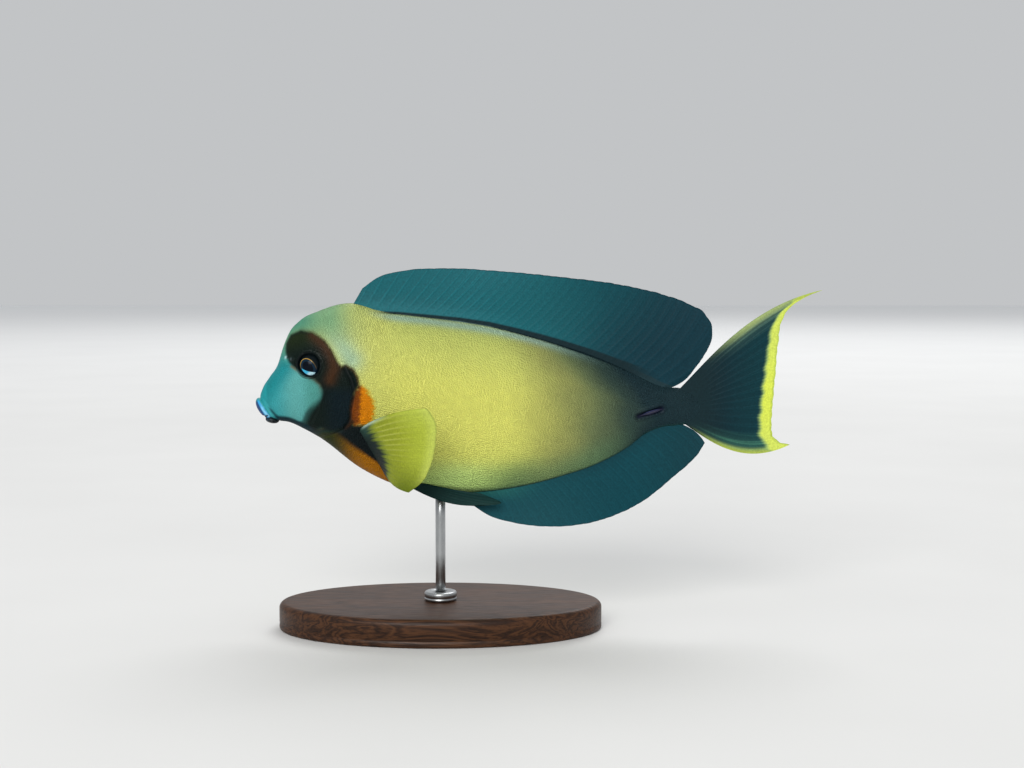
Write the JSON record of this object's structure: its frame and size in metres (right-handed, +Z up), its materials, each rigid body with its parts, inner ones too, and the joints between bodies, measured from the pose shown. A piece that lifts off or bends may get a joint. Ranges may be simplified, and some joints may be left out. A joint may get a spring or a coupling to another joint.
{
  "type": "chocolate surgeonfish",
  "caption": "Deep-bodied chocolate surgeonfish held level on a one-rod display stand: small mouth, long rayed dorsal and anal fins, lunate tail and folding tail-stem spines.",
  "frame": {"origin": "on the floor, under the middle of the model's bounding box", "axes": "+X from the snout to the tail, +Y to the fish's right side, +Z up"},
  "size_m": [0.2279, 0.0854, 0.1447],
  "materials": {
    "blue_grey_face": "blue-grey to teal skin of the snout, cheek and forehead, with a brown eye patch",
    "black_gill_band": "black skin of the band over the gill cover",
    "yellow_flank": "yellow-green skin with fine scales, an orange patch behind the gill opening and a dark rear",
    "dark_tail_stem": "dark brown-grey skin with fine scales",
    "teal_fin": "dark teal fin membrane with raised rays",
    "dark_tail_fin": "dark tail fin with a bright yellow rear margin",
    "olive_pectoral": "yellow-olive fin membrane with darker rays, black at the root",
    "black_pelvic": "black fin",
    "pale_blue_lip": "pale blue skin of the upper lip",
    "black_lip": "black skin of the lower lip",
    "eye": "clear glossy eye with a dark iris and a thin golden ring",
    "spine": "dark horn-like folding spine",
    "dark_wood": "dark satin-finished wood",
    "steel": "satin steel"
  },
  "bodies": {
    "root": {"head": "blue_grey_face", "gill_cover_left": "black_gill_band", "gill_cover_right": "black_gill_band", "torso": "yellow_flank", "tail_stem": "dark_tail_stem", "eye_left": "eye", "eye_right": "eye", "lip_upper": "pale_blue_lip", "lip_lower": "black_lip", "tail_spine_left": "spine", "tail_spine_right": "spine", "dorsal_fin": "teal_fin", "anal_fin": "teal_fin", "tail_fin_upper": "dark_tail_fin", "tail_fin_lower": "dark_tail_fin", "pectoral_fin_left": "olive_pectoral", "pectoral_fin_right": "olive_pectoral", "pelvic_fin_left": "black_pelvic", "pelvic_fin_right": "black_pelvic", "stand_base": "dark_wood", "stand_rod": "steel", "stand_collar": "steel"}
  },
  "joints": []
}
